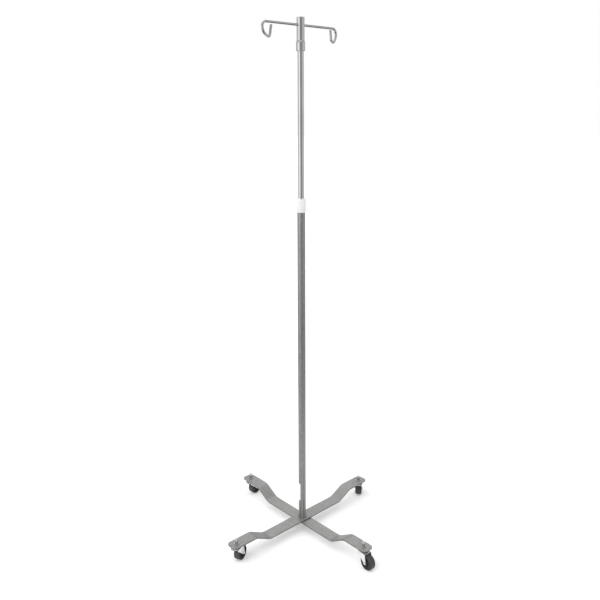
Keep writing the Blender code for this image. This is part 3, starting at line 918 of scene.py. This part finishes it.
# The pole ---------------------------------------------------------------------
def collet():
    """The slotted cone that grips the upper tube, on a socket inside the lower tube."""
    low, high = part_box("collet")
    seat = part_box("lower_tube")[1].z + GAP
    bore = UPPER_RADIUS + GAP
    socket = TUBE_RADIUS - TUBE_WALL - GAP
    profile = [
        (bore, low.z),
        (socket, low.z),
        (socket, seat),
        (CONE_FOOT, seat),
        (CONE_TOP, high.z - 0.0012),
        (CONE_TOP - 0.0004, high.z - 0.0004),
        (CONE_TOP - 0.0010, high.z),
        (bore, high.z),
    ]
    body = turned("collet_fine", profile, 96)
    slots = []
    for i in range(4):
        outline = [(0.006, -SLOT_HALF), (0.02, -SLOT_HALF), (0.02, SLOT_HALF), (0.006, SLOT_HALF)]
        tool = plate("slot", outline, seat + SLOT_FLOOR, high.z + 0.01)
        slots.append(moved(tool, Matrix.Rotation(math.radians(SLOT_BEARING + i * 90), 4, "Z")))
    carve(body, "DIFFERENCE", slots)
    stands_for(body, "collet")


def lock_collar():
    """A smooth moulded sleeve with a raised rim near its foot and a cone inside its top."""
    low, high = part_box("lock_collar")
    rim = high.x
    outer = COLLAR_RADIUS
    slide = TUBE_RADIUS + GAP
    tube_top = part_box("lower_tube")[1].z
    outline = [
        (slide, low.z),
        (outer - 0.0008, low.z),
        (rim, low.z + 0.0025),
        (rim, low.z + 0.0075),
        (outer, low.z + 0.0085),
        (outer, high.z - 0.0028),
        (outer - 0.0014, high.z),
        (CONE_TOP + 0.0007, high.z),
        (CONE_FOOT + 0.0006, tube_top),
        (slide, tube_top - 0.002),
    ]
    profile = softened(outline, 0.0009, 4, keep=(7, 8, 9))
    stands_for(turned("lock_collar_fine", profile, 96), "lock_collar")


def inner_pole():
    """The chromed upper tube."""
    low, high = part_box("upper_tube")
    outer = high.x
    inner = outer - TUBE_WALL
    outline = [(inner, low.z), (outer, low.z), (outer, high.z), (inner, high.z)]
    stands_for(turned("upper_tube_fine", softened(outline, TUBE_RIM, 2), 96), "upper_tube")


# The hook top -----------------------------------------------------------------
def hook_tube():
    """The short top tube, widened at its lower end and drilled across for the rod."""
    low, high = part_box("hook_tube")
    bell = high.x
    shoulder = low.z + BELL_LENGTH
    neck = shoulder + NECK_LENGTH
    inner = HOOK_TUBE_RADIUS - HOOK_TUBE_WALL
    outline = [
        (bell, low.z),
        (bell, shoulder),
        (HOOK_TUBE_RADIUS, neck),
        (HOOK_TUBE_RADIUS, high.z),
        (inner, high.z),
        (inner, neck + GAP),
        (bell - HOOK_TUBE_WALL, shoulder + GAP),
        (bell - HOOK_TUBE_WALL, low.z),
    ]
    profile = []
    # How far each of those corners is rounded back.
    cuts = (0.0004, 0.0024, 0.0024, 0.0003, 0.0002, 0.0, 0.0, 0.0003)
    count = len(outline)
    for i, cut in enumerate(cuts):
        if not cut:
            profile.append(outline[i])
            continue
        corner = [outline[i - 1], outline[i], outline[(i + 1) % count]]
        profile += softened(corner, cut, 5, keep=(0, 2))[1:-1]
    body = turned("hook_tube_fine", profile, 96, sharp=40)
    hole = ROD_RADIUS + GAP
    drill = turned("drill", [(0, -0.02), (hole, -0.02), (hole, 0.02), (0, 0.02)], 48, axis="Y")
    turn = Matrix.Rotation(math.radians(ROD_HEADING - 90), 4, "Z")
    moved(drill, Matrix.Translation((0, 0, ROD_HEIGHT)) @ turn)
    carve(body, "DIFFERENCE", [drill], 40)
    stands_for(body, "hook_tube")


def hook_cap():
    """The cap, with a plug inside the hook tube's top."""
    low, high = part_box("hook_cap")
    rim = high.x
    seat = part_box("hook_tube")[1].z + GAP
    plug = HOOK_TUBE_RADIUS - HOOK_TUBE_WALL - GAP
    profile = [(0, low.z), (plug - 0.0006, low.z), (plug, low.z + 0.0006), (plug, seat)]
    profile.append((rim - 0.0002, seat))
    edge = 0.0009
    profile += arc((rim - edge, high.z - edge), edge, 0, 90, 6)
    profile.append((0, high.z))
    stands_for(turned("hook_cap_fine", profile, 96), "hook_cap")


def loop_points(side, outward):
    """The rod's line on one side of the pole: straight out, round the loop's bends, and its tail."""
    out = Vector((math.cos(math.radians(outward)), math.sin(math.radians(outward)), 0))
    plane = Matrix.Rotation(math.radians(LOOP_TWISTS[side]), 3, "Z") @ out
    down = Vector((0, 0, -1))
    path = [out * (ROD_ARM * k / 6) + Vector((0, 0, ROD_HEIGHT)) for k in range(1, 7)]
    point = path[-1]
    start = 0.0
    for radius, stop in LOOP_TURNS[side]:
        steps = math.ceil((stop - start) / LOOP_STEP)
        for i in range(steps):
            a = math.radians(start + (stop - start) * i / steps)
            b = math.radians(start + (stop - start) * (i + 1) / steps)
            step = plane * (math.sin(b) - math.sin(a)) + down * (math.cos(a) - math.cos(b))
            point = point + step * radius
            path.append(point)
        start = stop
    heading = math.radians(start)
    run = plane * math.cos(heading) + down * math.sin(heading)
    path += [point + run * LOOP_TAILS[side] * k / 5 for k in range(1, 6)]
    return path


def hook_rod():
    """The round rod with its two formed loops and slightly domed ends."""
    right = loop_points("right", ROD_HEADING)
    left = loop_points("left", ROD_HEADING + 180)
    line = left[::-1] + [Vector((0, 0, ROD_HEIGHT))] + right
    edge = 0.0006
    sides = 28
    loops = []
    count = len(line)
    across = None
    for i, point in enumerate(line):
        run = (line[min(i + 1, count - 1)] - line[max(i - 1, 0)]).normalized()
        if across is None:
            across = run.cross(Vector((0, 1, 0))).normalized()
        across = (across - run * across.dot(run)).normalized()
        other = run.cross(across)
        rings = [(0.0, 1.0)]
        if i in (0, count - 1):
            inward = edge if i == 0 else -edge
            rings = [(0.0, 0.80), (inward * 0.3, 0.94), (inward, 1.0)]
            if i:
                rings.reverse()
        for shift, share in rings:
            loop = []
            for k in range(sides):
                a = math.tau * k / sides
                spoke = across * math.cos(a) + other * math.sin(a)
                loop.append(point + run * shift + spoke * ROD_RADIUS * share)
            loops.append(loop)
    # The rod is in the dimmer chrome, a painted shade.
    stands_for(lofted("hook_rod_fine", loops, 40), "hook_rod", ROD_SHADED_CHROME)


# The casters ------------------------------------------------------------------
def fork_mesh(crown_top, trail, axle_height):
    """A pressed fork at the origin: a U section cut to its side view and to the crown's plan."""
    inside = crown_top - CROWN_THICK
    corners = [
        (-FORK_OUTER, FORK_FOOT),
        (-FORK_OUTER, crown_top),
        (FORK_OUTER, crown_top),
        (FORK_OUTER, FORK_FOOT),
        (FORK_INNER, FORK_FOOT),
        (FORK_INNER, inside),
        (-FORK_INNER, inside),
        (-FORK_INNER, FORK_FOOT),
    ]
    section = []
    for i, cut in enumerate((0, 0.0026, 0.0026, 0, 0, 0.0011, 0.0011, 0)):
        if cut:
            corner = [corners[i - 1], corners[i], corners[i + 1]]
            section += softened(corner, cut, 6, keep=(0, 2))[1:-1]
        else:
            section.append(corners[i])
    channel = plate("fork", section, -0.03, 0.045, "X", 30)
    under = inside - 0.0002
    above = crown_top + 0.001
    shoulder = crown_top - FORK_SHOULDER
    view = [(CROWN_FRONT, above), (CROWN_FRONT, under), (FORK_FRONT, under), (FORK_FRONT - 0.001, shoulder)]
    view += arc((trail, axle_height), FORK_EYE, -150, 5, 12)
    view += [(FORK_BACK + 0.003, shoulder), (FORK_BACK + 0.002, under)]
    view += [(CROWN_BACK, under), (CROWN_BACK, above)]
    carve(channel, "INTERSECT", [plate("side", view, -0.02, 0.02, "Y")], 30)
    edge = math.degrees(math.asin((FORK_OUTER - 0.0001) / CROWN_RADIUS))
    plan = arc((CROWN_REACH, 0), CROWN_RADIUS, -edge, edge, 16)
    plan += arc((0, 0), CROWN_RADIUS, 180 - edge, 180 + edge, 16)
    plan_tool = plate("plan", plan, 0.0, 0.1)
    # The plan cuts the crown only, so below it the tool is wide enough to keep all of the legs.
    keep_legs = plate("legs", [(-0.02, -0.02), (0.04, -0.02), (0.04, 0.02), (-0.02, 0.02)], 0.0, under)
    carve(plan_tool, "UNION", [keep_legs], 30)
    carve(channel, "INTERSECT", [plan_tool], 30)
    bevel = channel.modifiers.new("edge", "BEVEL")
    bevel.width = 0.0003
    bevel.segments = 2
    bevel.limit_method = "ANGLE"
    bevel.angle_limit = math.radians(40)
    settled(channel, 30)
    return channel


def balls_mesh(low, high):
    """The bearing's balls and the flat cage between them, as one mesh at the origin."""
    radius = (high - low) / 2
    ball = turned("ball", arc((0, 0), radius * 0.98, -90, 90, 10), 16)
    bm = bmesh.new()
    for i in range(BALL_COUNT):
        a = math.tau * i / BALL_COUNT
        centre = (BALL_CIRCLE * math.cos(a), BALL_CIRCLE * math.sin(a), low + radius)
        bm.from_mesh(ball.data)
        bm.verts.ensure_lookup_table()
        bmesh.ops.translate(bm, verts=bm.verts[-len(ball.data.vertices) :], vec=centre)
    bpy.data.objects.remove(ball, do_unlink=True)
    cage_low = low + radius * 0.75
    cage_high = low + radius * 1.25
    inner, outer = BALL_CIRCLE - radius * 0.8, BALL_CIRCLE + radius * 0.8
    sides = 48
    spokes = [(math.cos(math.tau * k / sides), math.sin(math.tau * k / sides)) for k in range(sides)]
    rings = []
    for r, z in ((inner, cage_low), (outer, cage_low), (outer, cage_high), (inner, cage_high)):
        rings.append([bm.verts.new((r * x, r * y, z)) for x, y in spokes])
    for a, b in zip(rings, rings[1:] + rings[:1]):
        for k in range(sides):
            j = (k + 1) % sides
            bm.faces.new((a[k], a[j], b[j], b[k]))
    return finished("balls", bm, 40)


def tyre_mesh(radius):
    """The tyre, with its flat tread in a paler rubber than its walls."""
    half = TYRE_HALF
    seat = CORE_RADIUS + GAP
    outline = [
        (seat, half - 0.0013),
        (seat + 0.0015, half),
        (radius - 0.0019, half),
        (radius - 0.0002, half - 0.0016),
        (radius, half - 0.0045),
        (radius, 0.0004),
        (seat, 0.0),
    ]
    right = softened(outline, 0.0009, 5, keep=(5, 6))[:-1]
    profile = right + [(r, -y) for r, y in right[::-1]]
    made = turned("tyre", profile, 96, axis="Y")
    made.data.materials.append(FINISHES["tyre_rubber"])
    made.data.materials.append(TREAD)
    for face in made.data.polygons:
        middle = face.center
        if math.hypot(middle.x, middle.z) > radius - 0.0012 and abs(middle.y) < half - 0.0008:
            face.material_index = 1
    return made


def core_mesh():
    """The wheel's plastic centre: a rim, a dished web with ribs, and the hub."""
    bush = AXLE_RADIUS + GAP + 0.0015
    right = [
        (CORE_RADIUS, 0.0095),
        (0.0140, 0.0095),
        (0.0133, 0.0088),
        (0.0125, 0.0052),
        (0.0098, 0.0052),
        (0.0086, 0.0062),
        (0.0080, 0.0120),
        (bush + GAP, 0.0120),
    ]
    outline = right + [(r, -y) for r, y in right[::-1]]
    made = turned("core", softened(outline, 0.0006, 3), 72, axis="Y")
    ribs = []
    outline = [(-0.0007, 0.0075), (0.0007, 0.0075), (0.0007, 0.0138), (-0.0007, 0.0138)]
    for i in range(6):
        rib = plate("rib", outline, -0.0080, 0.0080, "Y")
        ribs.append(moved(rib, Matrix.Rotation(math.radians(60 * i), 4, "Y")))
    carve(made, "UNION", ribs)
    return made


def axle_mesh(half_length):
    """A rivet with a domed head at each end."""
    leg = FORK_OUTER + GAP
    dome = half_length - leg
    right = [(AXLE_RADIUS, leg), (RIVET_HEAD, leg)]
    for a in range(0, 91, 15):
        t = math.radians(a)
        right.append((RIVET_HEAD * math.cos(t), leg + dome * (0.25 + 0.75 * math.sin(t))))
    profile = [(r, -y) for r, y in right[::-1]] + right
    return turned("axle", profile, 48, axis="Y")


def stem_mesh(low, thread_low, high):
    """The caster's stem: a flanged head in the bearing, and a threaded stud above it."""
    head = low + STEM_HEAD
    profile = [(0, low), (0.0062, low), (0.0078, low + 0.0010), (0.0080, head), (STUD_RADIUS, head)]
    profile += [(STUD_RADIUS, thread_low)] + thread(STUD_RADIUS, thread_low, high - 0.0012)
    profile += [(STUD_RADIUS, high - 0.0011), (STUD_RADIUS - 0.0009, high), (0, high)]
    return turned("stem", profile, 48, sharp=25)


def cup_mesh(radius, low, high):
    """The pressed cup over the bearing."""
    hole = STUD_RADIUS + GAP
    outline = [
        (hole, high),
        (radius - 0.0028, high),
        (radius, high - 0.0028),
        (radius, low),
        (radius - CUP_WALL, low),
        (radius - CUP_WALL, high - 0.0034),
        (radius - 0.0034, high - CUP_WALL),
        (hole, high - CUP_WALL),
    ]
    return turned("cup", softened(outline, 0.0005, 3), 72)


def casters():
    """One set of caster pieces is made at the origin, and copied to each leg."""
    first = TAGS[0]
    nut_low, nut_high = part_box("caster_nut_" + first)
    washer_low, washer_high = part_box("caster_washer_" + first)
    stem_low, stem_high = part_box("caster_stem_" + first)
    cup_low, cup_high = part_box("bearing_cup_" + first)
    race_low, race_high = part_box("ball_race_" + first)
    fork_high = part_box("fork_" + first)[1]
    axle_at = Vector(JOINTS[f"wheel_{first}_roll"]["pos_m"])
    swivel_at = Vector(JOINTS[f"caster_{first}_swivel"]["pos_m"])
    trail = (axle_at - swivel_at).xy.length
    # The back caster's axle is the one nearest to lying along Y.
    axle_low, axle_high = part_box("axle_back")
    half_axle = (axle_high.y - axle_low.y) / 2 / abs(JOINTS["wheel_back_roll"]["axis"][1])
    washer_radius = (washer_high.x - washer_low.x) / 2
    thread_low = washer_high.z - 0.002  # the thread starts inside the washer
    nut = hex_head("nut", nut_low.z, nut_high.z, bore=STUD_RADIUS + GAP / 2)
    washer = flat_washer("washer", washer_low.z, washer_high.z, washer_radius, STUD_RADIUS + GAP)
    stem = stem_mesh(stem_low.z, thread_low, stem_high.z)
    cup = cup_mesh((cup_high.x - cup_low.x) / 2, cup_low.z, cup_high.z)
    fork = fork_mesh(fork_high.z, trail, axle_at.z)
    balls = balls_mesh(race_low.z, race_high.z)
    axle = axle_mesh(half_axle)
    tyre = tyre_mesh(axle_at.z)
    core = core_mesh()
    for tag in TAGS:
        swivel = JOINTS[f"caster_{tag}_swivel"]["pos_m"]
        hub = JOINTS[f"wheel_{tag}_roll"]["pos_m"]
        axis = JOINTS[f"wheel_{tag}_roll"]["axis"]
        heading = math.atan2(-axis[0], axis[1])
        leg = math.atan2(swivel[1], swivel[0])
        fixed = Matrix.Translation((swivel[0], swivel[1], 0))
        at_leg = fixed @ Matrix.Rotation(leg, 4, "Z")
        trailing = fixed @ Matrix.Rotation(heading, 4, "Z")
        rolling = Matrix.Translation(hub) @ Matrix.Rotation(heading, 4, "Z")
        for model, node, matrix in (
            (stem, "caster_stem_", at_leg),
            (cup, "bearing_cup_", fixed),
            (washer, "caster_washer_", fixed),
            (nut, "caster_nut_", at_leg),
            (fork, "fork_", trailing),
            (balls, "ball_race_", trailing),
            (axle, "axle_", rolling),
            (core, "wheel_core_", rolling),
        ):
            # The nuts take the darker zinc, a painted shade.
            finish = NUT_SHADED_ZINC if model is nut else None
            stands_for(copied(model, f"{node}{tag}_fine", matrix), node + tag, finish)
        takes_over(copied(tyre, f"tyre_{tag}_fine", rolling), "tyre_" + tag)
    for model in (nut, washer, stem, cup, fork, balls, axle, tyre, core):
        bpy.data.objects.remove(model, do_unlink=True)


bar("base_bar_upper", 0, BAR_X_PAINT)
bar("base_bar_lower", 1, BAR_Y_PAINT)
lower_tube()
blank_label()
base_fixings()
collet()
lock_collar()
inner_pole()
hook_tube()
hook_cap()
hook_rod()
casters()
